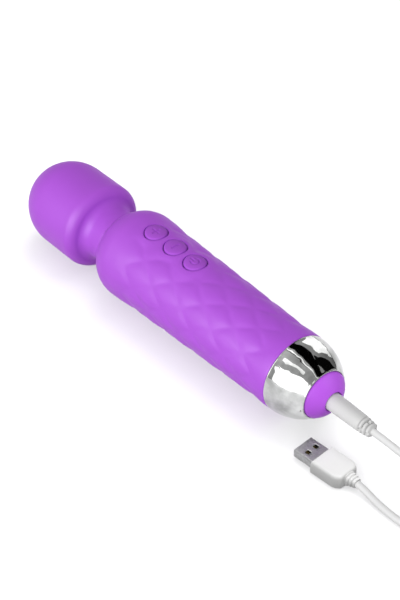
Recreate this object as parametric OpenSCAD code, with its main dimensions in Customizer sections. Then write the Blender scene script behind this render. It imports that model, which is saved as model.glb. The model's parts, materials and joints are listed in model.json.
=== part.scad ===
// Handheld wand massager lying on a table, with its charging lead plugged in.
// All lengths are millimetres. The wand lies along X: its head is at -X and its
// charging socket at +X. The buttons face +Z and the wand rests on z = 0.
// Stations along the wand are measured from the rim of the tail cap towards the head.

/* [Handle] */
// Radius of the handle skin where it meets the chrome ring
grip_r_tail = 20.2; // [19.8:0.1:20.6]
// Radius of the handle skin where its front shoulder begins
grip_r_front = 23.8; // [23.4:0.1:24.4]
// Radius of the round shoulder at the front of the handle
shoulder_r = 17.3; // [16.8:0.1:17.8]
// Thickness of the silicone skin on the handle
skin_t = 2; // [1.8:0.1:2.2]
// Wall of the hard shells under the skin
shell_t = 1.8; // [1.5:0.1:2]

/* [Tail] */
// Length of the chrome ring
ring_len = 19.3; // [18.8:0.1:19.8]
// Radius of the tail cap at its rim
cap_r = 12.8; // [12.4:0.1:13.2]
// Height of the tail cap's dome
cap_dome = 7.3; // [7:0.1:7.6]

/* [Head] */
// Radius of the head
head_r = 23.1; // [22.6:0.1:23.6]
// Thickness of the silicone skin on the head
head_skin_t = 2.5; // [2.2:0.1:2.8]

/* [Buttons] */
// Radius of a button
button_r = 5.8; // [5.5:0.1:5.9]
// Travel of a button
button_travel = 0.6; // [0.4:0.1:0.7]
// Distance between two buttons along the handle
button_pitch = 15; // [14.5:0.1:15.5]

/* [Charging lead] */
// Diameter of the cable
cable_d = 3.4; // [3:0.1:3.4]
// Radius of the charging plug's body
plug_r = 4.5; // [4.2:0.1:4.6]
// Width of the USB plug's metal shell
usb_w = 12; // [11.8:0.1:12.2]
// Height of the USB plug's metal shell
usb_h = 4.5; // [4.4:0.1:4.6]

/* [Hidden] */
$fn = 96;

// Stations along the wand, from the rim of the tail cap (t = 0) towards the head.
mid_x = 105;
axis_z = grip_r_front;
shoulder_t = 135.2;
shoulder_n = 14;
mouth_r = 15.2;
head_rear_t = 164.4;
head_edge_r = 5.6;
dome_t = 192.8;
dome_len = 23.7;
head_split_t = 186;
button_mid_t = 106.6;
button_ts = [for (k = [-1:1]) button_mid_t - k * button_pitch];

// The charging plug's nose sits in a shallow recess in the middle of the tail cap.
recess_t = -4.9;

// Gaps: between parts that only lie together, round a button, and in a running fit.
gap = 0.1;
button_gap = 0.3;
run_gap = 0.03;

// Inside the handle, heights are measured from the wand's axis.
board_z = 13;
board_t = 1.2;
switch_h = 3;
switch_floor = 1.2;
plunger_r = 1.5;
cell_r = 9.1;
cell_len = 65;
cell_t0 = 34;
cell_z = -5.6;
main_board_z = 4.6;
screw_ts = [29, 126];
screw_y = 13.2;
seam_gap = 0.1;

// Inside the head.
motor_r = 8;
motor_t0 = 174;
motor_len = 20;
shaft_r = 1;
weight_t0 = 196.5;
weight_len = 7;
weight_r = 9;
bracket_t = 180.5;
bracket_screw_r = 15.8;
bracket_angles = [0, 120, 240];

// The lead: charging plug, cable, coil and USB plug.
plug_len = 20.6;
plug_relief_len = 6;
usb_pos = [108.8, -15.9, 0];
usb_turn = 4.8;
usb_body_h = 7.4;
usb_wall = 0.3;
usb_tongue_h = 1.8;
coil_pos = [200, 13.7];
coil_r = 19;
coil_w = 2 * cable_d;
coil_h = 3 * cable_d + 0.6;
plug_route = [
  [136.5, 0, 23.8], [143, 0, 23.8], [149, 0, 23.7], [155, 0.2, 23.4], [161, 1.4, 22.5],
  [167, 4.4, 20.6], [172, 9, 17.7], [176, 14.8, 14.3], [180, 21.2, 11], [184.1, 27, 9.1]
];
usb_route = [
  [141.7, -13.1, 3.7], [147, -13.2, 3.2], [153, -13.5, 2.3], [160, -13.7, 1.8], [167, -13.6, 1.7],
  [174, -12.9, 1.7], [181, -11.6, 1.7], [188, -9.9, 1.7], [195, -8.1, 1.7], [201.7, -6.9, 1.7]
];

// Outline helpers. A point of a turned outline is [radius, station].
function arc(c, r, a0, a1, n) = [for (i = [0:n]) let (a = a0 + (a1 - a0) * i / n)
  [c[0] + r * cos(a), c[1] + r * sin(a)]];
function ellipse_arc(t, rad, len, a0, a1, n) = [for (i = [0:n]) let (a = a0 + (a1 - a0) * i / n)
  [rad * cos(a), t + len * sin(a)]];
function reversed(list) = [for (i = [len(list) - 1:-1:0]) list[i]];
function rounded(x0, y0, x1, y1, r) = concat(
  arc([x1 - r, y1 - r], r, 0, 90, 6), arc([x0 + r, y1 - r], r, 90, 180, 6),
  arc([x0 + r, y0 + r], r, 180, 270, 6), arc([x1 - r, y0 + r], r, 270, 360, 6));

// Outer surface of the handle, moved inwards by "inset", from station t0 to the mouth.
function grip_r(t) = grip_r_tail + (grip_r_front - grip_r_tail) * (t - ring_len)
  / (shoulder_t - ring_len);
function grip_side(inset, t0) = [
  [grip_r(t0) - inset, t0], [grip_r_front - inset, shoulder_t]];
function shoulder_arc(inset, end_r) = let (r = shoulder_r - inset, c = grip_r_front - shoulder_r)
  arc([c, shoulder_t], r, 0, acos((end_r - c) / r), shoulder_n);
function ring_arc(inset, n) = let (big = 28.9)
  arc([grip_r_tail - big, ring_len], big - inset, -asin(ring_len / big), 0, n);

// A body turned about the wand's axis.
module revolve(outline) {
  translate([mid_x, 0, axis_z]) rotate([0, -90, 0]) rotate_extrude() polygon(outline);
}

// Children are drawn at station t on the axis, with their +Z towards the head
// and their +X up.
module station(t, up = 0, side = 0) {
  translate([mid_x - t, side, axis_z + up]) rotate([0, -90, 0]) children();
}

// Children are drawn upright over station t, at a height above the axis.
module over(t, up = 0, side = 0) {
  translate([mid_x - t, side, axis_z + up]) children();
}

module half_space(sign) {
  translate([-200, -50, sign > 0 ? axis_z + seam_gap / 2 : axis_z - 100 - seam_gap / 2])
    cube([400, 100, 100]);
}

module screw(len, shank_r, head_r) {
  difference() {
    union() {
      cylinder(h = len, r = shank_r, $fn = 32);
      cylinder(h = 1.4, r = head_r, $fn = 32);
    }
    for (turn = [0, 90]) rotate(turn) translate([-head_r * 0.6, -0.25, -0.1])
      cube([head_r * 1.2, 0.5, 0.8]);
  }
}

// ---- Handle ----

module handle_solid(inset, t0, end_r) {
  revolve(concat([[0, t0]], grip_side(inset, t0), shoulder_arc(inset, end_r),
    [[0, shoulder_arc(inset, end_r)[shoulder_n][1]]]));
}

module button_holes(r) {
  for (t = button_ts) over(t, board_z) cylinder(h = 20, r = r);
}

module handle_skin() {
  inner = concat([[grip_r(ring_len) - skin_t, ring_len], [grip_r_front - skin_t, shoulder_t]],
    shoulder_arc(skin_t, mouth_r));
  color("#b562e2") difference() {
    revolve(concat(grip_side(0, ring_len), shoulder_arc(0, mouth_r), reversed(inner)));
    button_holes(button_r + button_gap);
  }
}

module shell_pair() {
  outer_in = skin_t + gap;
  inner_in = skin_t + gap + shell_t;
  t0 = ring_len + 1.6;
  front_r = 13;
  outer = concat(grip_side(outer_in, t0), shoulder_arc(outer_in, front_r));
  inner = concat(grip_side(inner_in, t0), shoulder_arc(inner_in, front_r));
  revolve(concat(outer, reversed(inner)));
}

module screw_posts() {
  for (t = screw_ts) for (s = [-1, 1]) over(t, -13, s * screw_y)
    cylinder(h = 26, r = 2.6, $fn = 48);
}

module shell_upper() {
  color("#e9e6ea") difference() {
    intersection() {
      union() {
        shell_pair();
        intersection() {
          screw_posts();
          handle_solid(skin_t + gap + 0.5, ring_len + 2, 13);
        }
      }
      half_space(1);
    }
    button_holes(button_r + button_gap);
    for (t = screw_ts) for (s = [-1, 1]) over(t, -1, s * screw_y)
      cylinder(h = 8, r = 0.8, $fn = 32);
  }
}

module shell_lower() {
  color("#e9e6ea") difference() {
    intersection() {
      union() {
        shell_pair();
        intersection() {
          screw_posts();
          handle_solid(skin_t + gap + 0.5, ring_len + 2, 13);
        }
      }
      half_space(-1);
    }
    for (t = screw_ts) for (s = [-1, 1]) over(t, -20, s * screw_y) {
      cylinder(h = 22, r = 1.15, $fn = 32);
      cylinder(h = 12.5, r = 2.1, $fn = 32);
    }
  }
}

module shell_screws() {
  color("#8c8f94") for (t = screw_ts) for (s = [-1, 1]) over(t, -8.9, s * screw_y)
    screw(13, 0.75, 1.9);
}

// Hard ring that holds the rear end of the neck spring and closes the handle's mouth.
module neck_socket() {
  color("#d9d6dc") revolve([
    [5.6, 138], [12.8, 138], [12.8, 149.1], [14.9, 149.1], [14.9, 150.2], [9.4, 150.2], [9.4, 141],
    [5.6, 141]]);
}

// ---- Tail ----

module chrome_ring() {
  wall = 1.4;
  color("#d7dade") revolve(concat(
    [[cap_r - wall, 0.4], [cap_r + 0.2, 0.2]], ring_arc(0, 14), reversed(ring_arc(wall, 14))));
}

module tail_cap() {
  dome_r = (cap_r * cap_r + cap_dome * cap_dome) / (2 * cap_dome);
  c_t = dome_r - cap_dome;
  rim = asin((cap_r - 0.1) / dome_r);
  outer = [for (i = [0:12]) let (a = rim * i / 12) [dome_r * sin(a), c_t - dome_r * cos(a)]];
  color("#b562e2") difference() {
    revolve(concat(outer, [[cap_r - 1.6, 0.2], [cap_r - 1.6, 4], [0, 4]]));
    station(-3.6) cylinder(h = 12, r = 6.3);
    station(-cap_dome - 1) cylinder(h = 12, r = 2.6, $fn = 48);
    station(-cap_dome - 1) cylinder(h = recess_t + cap_dome + 1, r = plug_r + 0.3);
  }
}

// Hard carrier that the chrome ring and the tail cap clip on to.
module tail_frame() {
  color("#e9e6ea") difference() {
    revolve([[6.2, 4.2], [11, 4.2], [14.6, 9], [16.4, 14], [17.3, 20.6], [14.4, 20.6], [14.4, 19],
      [6.2, 10.2]]);
    for (a = [0:90:270]) rotate_at_axis(a) station(9, 11.4) cylinder(h = 14, r = 1, $fn = 32);
  }
}

module rotate_at_axis(a) {
  translate([0, 0, axis_z]) rotate([a, 0, 0]) translate([0, 0, -axis_z]) children();
}

// Rubber ring that seals the joint between the handle skin and the chrome ring.
module tail_seal() {
  color("#3a3a3e") revolve(rounded(17.35, 18.9, 18.15, 20.7, 0.35));
}

module charge_jack() {
  color("#26262a") difference() {
    station(-3.4) cylinder(h = 13, r = 6, $fn = 64);
    station(-4) cylinder(h = 12, r = 1.3, $fn = 48);
  }
}

// Leaf contact at the bottom of the charging socket.
module jack_spring() {
  color("#c9a24a") {
    over(12.2, -2.2, -0.8) cube([2.4, 1.6, 4.4]);
    over(13.4, 2.2, -0.8) cube([3.6, 1.6, 0.4]);
  }
}

// ---- Power and control ----

module battery_cell() {
  color("#3f7fb8") {
    station(cell_t0, cell_z) cylinder(h = cell_len, r = cell_r);
    station(cell_t0 + cell_len, cell_z) cylinder(h = 1.2, r = 3, $fn = 48);
  }
}

module battery_saddles() {
  color("#4a4a4f") for (t = [44, 84]) intersection() {
    handle_solid(skin_t + shell_t + 3 * gap, ring_len + 2, 13);
    difference() {
      over(t + 5, -22, -12) cube([5, 24, 20]);
      station(t - 1, cell_z) cylinder(h = 8, r = cell_r + gap);
    }
  }
}

module board_slab(t0, t1, width, up) {
  difference() {
    over(t1, up, -width / 2) cube([t1 - t0, width, board_t]);
    for (t = [t0 + 3, t1 - 3]) for (s = [-1, 1]) over(t, up - 1, s * (width / 2 - 2.5))
      cylinder(h = board_t + 2, r = 1, $fn = 32);
  }
}

module control_board() {
  color("#2f7d4c") board_slab(40, 118, 22, main_board_z);
}

module board_components() {
  top = main_board_z + board_t + 0.02;
  color("#2b2b2e") {
    over(96, top, -3) cube([6, 6, 1.2]);
    over(80, top, -5) cube([5, 4, 1.1]);
    over(66, top, 1) cube([5, 5, 2.4]);
    for (k = [0:3]) over(108 - 5 * k, top, 5.5) cube([2, 1.2, 0.8]);
    over(50, top, -4) cube([6, 8, 4.2]);
    over(118, main_board_z - 2.72, -3) cube([6, 6, 2.7]);
  }
}

module switch_board() {
  color("#2f7d4c") board_slab(83, 130, 17, board_z);
}

module switch_bodies() {
  color("#2b2b2e") for (t = button_ts) difference() {
    over(t + 3, board_z + board_t + 0.02, -3) cube([6, 6, switch_h]);
    over(t, board_z + board_t + switch_floor) cylinder(h = 4, r = plunger_r + 0.1, $fn = 48);
  }
}

module status_led() {
  color("#f2f2ff") over(84.8, board_z + board_t + 0.02, -1) cube([1.8, 2, 1]);
}

// The motor's two wires run at this height above the axis, through the neck.
module wire_pair(t, len) {
  color("#b03030") for (s = [-1, 1]) station(t, 3, s * 1.3) cylinder(h = len, r = 0.6, $fn = 24);
}

module handle_wires() {
  wire_pair(118.1, 28);
}

// Nickel strips from the two ends of the cell to the control board.
module battery_tabs() {
  front_t = cell_t0 + cell_len + 1.3;
  color("#b9bcc1") {
    over(front_t + 0.3, cell_z - 2, -2) cube([0.3, 4, main_board_z - cell_z + 1.9]);
    over(cell_t0 - 0.1, cell_z - 2, -2) cube([0.3, 4, main_board_z - cell_z + 1.6]);
    over(cell_t0 + 10, main_board_z - 0.7, -2) cube([9.9, 4, 0.3]);
  }
}

// ---- Buttons ----

// A round cap cut flush with the handle's outer surface, less its engraved sign.
module button_cap(t) {
  color("#b562e2") difference() {
    intersection() {
      over(t, board_z + board_t + switch_h + 1.02) cylinder(h = 12, r = button_r);
      handle_solid(0, ring_len, mouth_r);
    }
    over(t, grip_r(t) - 0.35) children();
  }
}

module button_plus() {
  button_cap(button_ts[0]) for (turn = [0, 90]) rotate(turn) translate([-2, -0.3, 0])
    cube([4, 0.6, 2]);
}

module button_minus() {
  button_cap(button_ts[1]) translate([-0.3, -2, 0]) cube([0.6, 4, 2]);
}

module button_power() {
  button_cap(button_ts[2]) {
    difference() {
      cylinder(h = 2, r = 2.3, $fn = 48);
      translate([0, 0, -1]) cylinder(h = 4, r = 1.7, $fn = 48);
      translate([-4, -0.7, -1]) cube([4, 1.4, 4]);
    }
    translate([-2.9, -0.3, 0]) cube([2.4, 0.6, 2]);
  }
}

// At rest a plunger stands its travel and a little more above the switch's floor.
module plunger(t) {
  foot = switch_floor + button_travel + 0.2;
  color("#d8c9a0") over(t, board_z + board_t + foot)
    cylinder(h = switch_h + 1 - foot, r = plunger_r, $fn = 48);
}

module plunger_plus() {
  plunger(button_ts[0]);
}

module plunger_minus() {
  plunger(button_ts[1]);
}

module plunger_power() {
  plunger(button_ts[2]);
}

// ---- Neck ----

// Silicone skin of the flexible neck.
module neck_sleeve() {
  color("#b562e2") revolve([
    [11, 150.6], [14.9, 150.6], [14.6, 152.5], [14.5, 156], [14.6, 158.5], [14.9, 161.6], [11, 161.6]]);
}

// Close-wound spring that carries the head: one turned bead for each turn of wire.
module neck_spring() {
  wire = 1;
  turns = 13;
  beads = [for (k = [0:turns - 1]) for (a = [-80:40:80])
    [7 + wire * cos(a), 143 + 2 * wire * k + wire * sin(a)]];
  color("#9ea3a8") revolve(concat([[5.9, 142.1]], beads, [[5.9, 142.1 + 2 * wire * turns - 0.2]]));
}

module neck_wires() {
  wire_pair(146.2, 20);
}

// ---- Head ----

function head_outline(inset) = concat(
  arc([head_r - head_edge_r, head_rear_t + head_edge_r], head_edge_r - inset, -90, 0, 8),
  ellipse_arc(dome_t, head_r - inset, dome_len - inset, 0, 90, 20));

module head_skin() {
  outer = head_outline(0);
  inner = head_outline(head_skin_t);
  color("#b562e2") revolve(concat(
    [[12.6, 162], [15.2, 162], [16, 163.2]], outer, reversed(inner), [[12.6, head_rear_t + head_skin_t]]));
}

module head_shell_rear() {
  outer = arc([head_r - head_edge_r, head_rear_t + head_edge_r], head_edge_r - head_skin_t - gap,
    -90, 0, 6);
  r1 = head_r - head_skin_t - gap;
  back = head_rear_t + head_skin_t + gap;
  wall = 2;
  color("#e9e6ea") difference() {
    union() {
      revolve(concat([[10.5, back]], outer,
        [[r1, head_split_t], [r1 - 1, head_split_t], [r1 - 1, head_split_t - 3],
        [r1 - wall, head_split_t - 3], [r1 - wall, back + 4.5], [r1 - wall - 2.5, back + wall],
        [10.5, back + wall]]));
      for (a = bracket_angles) rotate_at_axis(a) station(back + wall - 0.5, bracket_screw_r)
        cylinder(h = bracket_t - gap - back - wall + 0.5, r = 2.2, $fn = 48);
    }
    for (a = bracket_angles) rotate_at_axis(a) station(bracket_t - 8, bracket_screw_r)
      cylinder(h = 9, r = 0.8, $fn = 32);
  }
}

module head_shell_front() {
  inset = head_skin_t + gap;
  wall = 2;
  outer = ellipse_arc(dome_t, head_r - inset, dome_len - inset, 0, 90, 16);
  inner = ellipse_arc(dome_t, head_r - inset - wall, dome_len - inset - wall, 90, 0, 16);
  r1 = head_r - inset;
  color("#e9e6ea") revolve(concat([[r1, head_split_t + gap]], outer, inner,
    [[r1 - wall, head_split_t - 2.8], [r1 - 1 - gap, head_split_t - 2.8],
    [r1 - 1 - gap, head_split_t + gap]]));
}

// Hard ring that the front end of the neck spring is pressed into.
module neck_plug() {
  color("#d9d6dc") revolve([
    [8.3, 163], [10.3, 163], [10.3, 169.1], [12.4, 169.1], [12.4, 171], [5.2, 171], [5.2, 168.6],
    [8.3, 168.6]]);
}

module motor_can() {
  color("#b9bcc1") {
    station(motor_t0) cylinder(h = motor_len, r = motor_r, $fn = 64);
    station(motor_t0 - 1.6) cylinder(h = 1.6, r = 3, $fn = 48);
  }
}

module motor_bush() {
  color("#c9a24a") difference() {
    station(motor_t0 + motor_len) cylinder(h = 1.6, r = 2.6, $fn = 48);
    station(motor_t0 + motor_len - 1) cylinder(h = 4, r = shaft_r + run_gap, $fn = 48);
  }
}

module motor_damper() {
  color("#3a3a3e") revolve(rounded(motor_r + gap, 180, motor_r + 2.4, 190, 0.6));
}

module motor_bracket() {
  out_r = head_r - head_skin_t - gap - 2 - gap;
  flange_t = bracket_t + 2.3;
  color("#d9d6dc") difference() {
    revolve([[motor_r + 2.5, bracket_t], [out_r, bracket_t], [out_r, flange_t], [13.2, flange_t],
      [12.4, 189], [motor_r + 2.5, 189]]);
    for (a = bracket_angles) rotate_at_axis(a) station(170, bracket_screw_r)
      cylinder(h = 20, r = 1.1, $fn = 32);
  }
}

module bracket_screws() {
  head_t = bracket_t + 2.3 + 1.42;
  color("#8c8f94") for (a = bracket_angles) rotate_at_axis(a) station(head_t, bracket_screw_r)
    rotate([180, 0, 0]) screw(9, 0.75, 1.7);
}

module head_wires() {
  wire_pair(166.3, 6);
}

module motor_shaft() {
  color("#c4c7cc") station(motor_t0 + motor_len + 0.2) cylinder(h = 10, r = shaft_r, $fn = 48);
}

// Half-round brass weight whose centre of mass is off the shaft.
module eccentric_weight() {
  color("#b99a4e") difference() {
    union() {
      intersection() {
        station(weight_t0) cylinder(h = weight_len, r = weight_r, $fn = 64);
        over(weight_t0 + weight_len, -weight_r - 1, -weight_r) cube([weight_len, 2 * weight_r, weight_r]);
      }
      station(weight_t0) cylinder(h = weight_len, r = 2.6, $fn = 48);
    }
    station(weight_t0 - 1) cylinder(h = weight_len + 2, r = shaft_r + 0.005, $fn = 48);
  }
}

// ---- Charging lead ----

module charge_pin() {
  color("#c4c7cc") station(recess_t + 0.02) cylinder(h = 12, r = 1.25, $fn = 48);
}

module charge_plug() {
  front = recess_t;
  back = front - plug_len;
  color("#f2f2f2") revolve([
    [0, front], [plug_r - 0.4, front], [plug_r, front - 0.4], [plug_r, back + 4.5],
    [plug_r - 0.5, back + 1], [plug_r - 1.2, back], [0, back]]);
}

module charge_relief() {
  front = recess_t - plug_len;
  bead = plug_relief_len / 3;
  rings = [for (k = [0:2]) let (r = 3.3 - 0.35 * k, t = front - bead * k)
    each [[r - 0.7, t], [r - 0.1, t - 0.25], [r, t - 0.7], [r - 0.1, t - 1.15], [r - 0.7, t - 1.4]]];
  color("#f2f2f2") revolve(concat([[0, front]], rings,
    [[2.1, front - plug_relief_len], [0, front - plug_relief_len]]));
}

function unit(v) = v / norm(v);
function along(route, i) = unit(route[min(i + 1, len(route) - 1)] - route[max(i - 1, 0)]);
function ring_at(route, i, r, n) = let (d = along(route, i), side = unit(cross(d, [0, 0, 1])),
  up = cross(side, d)) [for (k = [0:n - 1]) let (a = 360 * k / n + 22.5)
  route[i] + r * cos(a) * side + r * sin(a) * up];

// A cable tube swept along a route, with a ring of n points at each of its points.
module tube(route, r, n) {
  last = len(route) - 1;
  points = [for (i = [0:last]) each ring_at(route, i, r, n)];
  walls = [for (i = [0:last - 1]) for (k = [0:n - 1]) let (j = (k + 1) % n)
    [i * n + k, i * n + j, (i + 1) * n + j, (i + 1) * n + k]];
  ends = [[for (k = [n - 1:-1:0]) k], [for (k = [0:n - 1]) last * n + k]];
  polyhedron(points, concat(walls, ends), convexity = 4);
}

module cable_plug_run() {
  color("#f0f0f0") tube(plug_route, cable_d / 2, 8);
}

module cable_usb_run() {
  color("#f0f0f0") tube(usb_route, cable_d / 2, 8);
}

module cable_coil() {
  color("#f0f0f0") translate([coil_pos[0], coil_pos[1], 0]) rotate_extrude()
    polygon(rounded(coil_r - coil_w / 2, 0, coil_r + coil_w / 2, coil_h, 1.6));
}

// Strap that holds the coil together on its far side.
module cable_tie() {
  strap = 0.6;
  width = 7;
  color("#dcdce0") translate([coil_pos[0], coil_pos[1], 0]) rotate(-10)
    translate([coil_r, width / 2, 0]) rotate([90, 0, 0]) linear_extrude(width) difference() {
      polygon(rounded(-coil_w / 2 - strap, 0, coil_w / 2 + strap, coil_h + strap, 2));
      polygon(rounded(-coil_w / 2, strap, coil_w / 2, coil_h, 1.6));
    }
}

// Children are drawn with the USB plug's tip at the origin and its cable along +X.
module usb_place() {
  translate(usb_pos) rotate(usb_turn) children();
}

module usb_relief() {
  rings = [for (k = [0:2]) let (r = 3.3 - 0.35 * k, t = 28.2 + 1.6 * k)
    each [[r - 0.5, t], [r, t + 0.3], [r, t + 1], [r - 0.5, t + 1.3]]];
  color("#f2f2f2") usb_place() translate([0, 0, usb_body_h / 2]) rotate([0, 90, 0])
    rotate_extrude() polygon(concat([[0, 28.2]], rings, [[1.9, 33], [0, 33]]));
}

module usb_body() {
  half_w = 7.5;
  arc_r = 60;
  front = [for (i = [0:8]) let (y = half_w - 2 * half_w * i / 8)
    [11 + arc_r - sqrt(arc_r * arc_r - y * y), y]];
  color("#f2f2f2") usb_place() difference() {
    linear_extrude(usb_body_h) polygon(concat(front,
      [[24.6, -half_w], [25.4, -half_w + 0.4], [28.2, -3.8], [28.2, 3.8], [25.4, half_w - 0.4],
      [24.6, half_w]]));
    translate([9, -usb_w / 2 - 0.02, (usb_body_h - usb_h) / 2 - 0.02])
      cube([10, usb_w + 0.04, usb_h + 0.04]);
  }
}

module usb_shell() {
  low = (usb_body_h - usb_h) / 2;
  color("#9a9da1") usb_place() difference() {
    translate([0, -usb_w / 2, low]) cube([18.9, usb_w, usb_h]);
    translate([-1, -usb_w / 2 + usb_wall, low + usb_wall])
      cube([19.4, usb_w - 2 * usb_wall, usb_h - 2 * usb_wall]);
    for (s = [-1, 1]) for (z = [low - 0.5, low + usb_h - 1]) translate([4.6, s * 2.6 - 1.1, z])
      cube([2.2, 2.2, 1.5]);
  }
}

// Insulating tongue in the lower half of the plug's shell, with its four contacts on top.
module usb_tongue() {
  low = (usb_body_h - usb_h) / 2 + usb_wall + 0.05;
  color("#2a2a2d") usb_place() translate([0.6, -5.6, low]) cube([17.6, 11.2, usb_tongue_h]);
}

module usb_contacts() {
  low = (usb_body_h - usb_h) / 2 + usb_wall + 0.05 + usb_tongue_h + 0.02;
  color("#d4af55") usb_place() for (k = [-1.5:1:1.5])
    translate([1.6, 2.3 * k - 0.6, low]) cube([10, 1.2, 0.18]);
}

handle_skin();
shell_upper();
shell_lower();
shell_screws();
neck_socket();
chrome_ring();
tail_cap();
tail_frame();
tail_seal();
charge_jack();
jack_spring();
battery_cell();
battery_saddles();
control_board();
board_components();
switch_board();
switch_bodies();
status_led();
handle_wires();
battery_tabs();
button_plus();
button_minus();
button_power();
plunger_plus();
plunger_minus();
plunger_power();
neck_sleeve();
neck_spring();
neck_wires();
head_skin();
head_shell_rear();
head_shell_front();
neck_plug();
motor_can();
motor_bush();
motor_damper();
motor_bracket();
bracket_screws();
head_wires();
motor_shaft();
eccentric_weight();
charge_pin();
charge_plug();
charge_relief();
cable_plug_run();
cable_coil();
cable_tie();
cable_usb_run();
usb_relief();
usb_body();
usb_shell();
usb_tongue();
usb_contacts();
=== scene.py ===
"""A handheld wand massager with its charging lead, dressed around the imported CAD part.

Shapes are worked out in millimetres and made into meshes in metres. Places along the wand are
stations: t is the distance from the rim of the tail cap towards the head, and beta is the angle
round the wand's axis, in degrees, from straight up (0) towards -Y (90).
"""

import json
import math

import bmesh
import bpy
import numpy as np
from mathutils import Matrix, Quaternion, Vector


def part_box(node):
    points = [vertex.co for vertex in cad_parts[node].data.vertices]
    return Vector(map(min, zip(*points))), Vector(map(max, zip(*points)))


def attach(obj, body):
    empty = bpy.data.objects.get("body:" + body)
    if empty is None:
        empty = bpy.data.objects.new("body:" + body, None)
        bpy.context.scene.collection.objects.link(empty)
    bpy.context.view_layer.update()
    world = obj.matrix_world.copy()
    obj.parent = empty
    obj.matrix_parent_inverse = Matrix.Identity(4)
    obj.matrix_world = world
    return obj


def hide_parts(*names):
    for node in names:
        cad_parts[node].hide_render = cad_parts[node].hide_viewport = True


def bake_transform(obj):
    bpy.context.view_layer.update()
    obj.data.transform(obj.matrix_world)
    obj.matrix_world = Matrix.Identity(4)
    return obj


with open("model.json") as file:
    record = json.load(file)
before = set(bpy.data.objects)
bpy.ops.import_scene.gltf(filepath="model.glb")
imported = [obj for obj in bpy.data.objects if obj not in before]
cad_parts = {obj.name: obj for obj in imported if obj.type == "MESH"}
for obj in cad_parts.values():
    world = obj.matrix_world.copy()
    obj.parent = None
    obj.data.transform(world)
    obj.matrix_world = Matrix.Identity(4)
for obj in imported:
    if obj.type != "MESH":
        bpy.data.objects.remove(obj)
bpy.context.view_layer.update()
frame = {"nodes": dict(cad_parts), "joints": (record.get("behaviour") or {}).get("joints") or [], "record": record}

MM = 0.001


# ---- Sizes, from the frame ----

def corners(node):
    lo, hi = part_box(node)
    return lo / MM, hi / MM


skin_lo, skin_hi = corners("handle_skin")
ring_lo, ring_hi = corners("chrome_ring")
cap_lo, cap_hi = corners("tail_cap")
head_lo, head_hi = corners("head_skin")
plug_lo, plug_hi = corners("charge_plug")

AXIS_Z = (skin_lo.z + skin_hi.z) / 2
RIM_X = ring_hi.x
RING_T = RIM_X - skin_hi.x
MOUTH_T = RIM_X - skin_lo.x
GRIP_R_TAIL = (ring_hi.z - ring_lo.z) / 2
GRIP_R_FRONT = (skin_hi.z - skin_lo.z) / 2
HEAD_R = (head_hi.z - head_lo.z) / 2
HEAD_TIP_T = RIM_X - head_lo.x
CAP_R = (cap_hi.z - cap_lo.z) / 2
PLUG_R = (plug_hi.z - plug_lo.z) / 2
PLUG_T0 = RIM_X - plug_lo.x
PLUG_T1 = RIM_X - plug_hi.x
RELIEF_T1 = RIM_X - corners("charge_relief")[1].x

SKIN_T = 2.0
SHOULDER_R = 17.3
MOUTH_R = 15.2
SHOULDER_C = GRIP_R_FRONT - SHOULDER_R
SHOULDER_T = MOUTH_T - math.sqrt(SHOULDER_R ** 2 - (MOUTH_R - SHOULDER_C) ** 2)
PIVOT_T = RIM_X - frame["joints"][0]["pos_m"][0] / MM

BUTTONS = ["button_power", "button_minus", "button_plus"]
BUTTON_R = 5.8
HOLE_R = 6.1


def button_centre(name):
    """Station of a button's middle."""
    lo, hi = corners(name)
    return RIM_X - (lo.x + hi.x) / 2


BUTTON_TS = [button_centre(name) for name in BUTTONS]


# ---- Small helpers ----

def smooth(a, b, x):
    s = np.clip((x - a) / (b - a), 0, 1)
    return s * s * (3 - 2 * s)


def on_wand(t, r, beta):
    """The point at station t and radius r from the wand's axis."""
    angle = np.radians(beta)
    return np.stack(np.broadcast_arrays(
        RIM_X - t, -r * np.sin(angle), AXIS_Z + r * np.cos(angle)), axis=-1)


def arc(centre_r, centre_t, radius, start, end, steps):
    """Points (r, t) of an arc in a turned outline; angles in degrees from +r towards +t."""
    angles = [math.radians(start + (end - start) * i / steps) for i in range(steps + 1)]
    return [(centre_r + radius * math.cos(a), centre_t + radius * math.sin(a)) for a in angles]


def finish_piece(obj, material, body, replaces=(), sharp=40):
    obj.data.materials.clear()
    obj.data.materials.append(material)
    if obj.type == "MESH":
        obj.data.shade_smooth()
        obj.data.set_sharp_from_angle(angle=math.radians(sharp))
    if body:
        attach(obj, body)
    if replaces:
        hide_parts(*replaces)
    return obj


def mesh_object(name, points, faces):
    """A mesh from points in millimetres, with doubles welded and its faces turned outwards."""
    mesh = bpy.data.meshes.new(name)
    mesh.from_pydata([tuple(p) for p in np.asarray(points) * MM], [], faces)
    work = bmesh.new()
    work.from_mesh(mesh)
    bmesh.ops.remove_doubles(work, verts=work.verts, dist=1e-7)
    bmesh.ops.dissolve_degenerate(work, edges=work.edges, dist=1e-8)
    bmesh.ops.recalc_face_normals(work, faces=work.faces)
    work.to_mesh(mesh)
    work.free()
    obj = bpy.data.objects.new(name, mesh)
    bpy.context.scene.collection.objects.link(obj)
    return obj


def grid_faces(rows, columns, close_rows=False, close_columns=True, skip=None):
    faces = []
    for i in range(rows if close_rows else rows - 1):
        for j in range(columns if close_columns else columns - 1):
            if skip and skip(i, j):
                continue
            k, m = (i + 1) % rows, (j + 1) % columns
            faces.append((i * columns + j, i * columns + m, k * columns + m, k * columns + j))
    return faces


def turned(name, outline, segments=128, change=None):
    """A closed outline of (r, t) points turned about the wand's axis. change(r, t, beta) moves the
    surface in or out."""
    r = np.array([p[0] for p in outline])[:, None]
    t = np.array([p[1] for p in outline])[:, None]
    beta = np.arange(segments)[None, :] * 360 / segments
    radius = r + 0 * beta if change is None else change(r, t, beta)
    points = on_wand(t, radius, beta).reshape(-1, 3)
    return mesh_object(name, points, grid_faces(len(outline), segments, close_rows=True))


# ---- Materials ----

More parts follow.
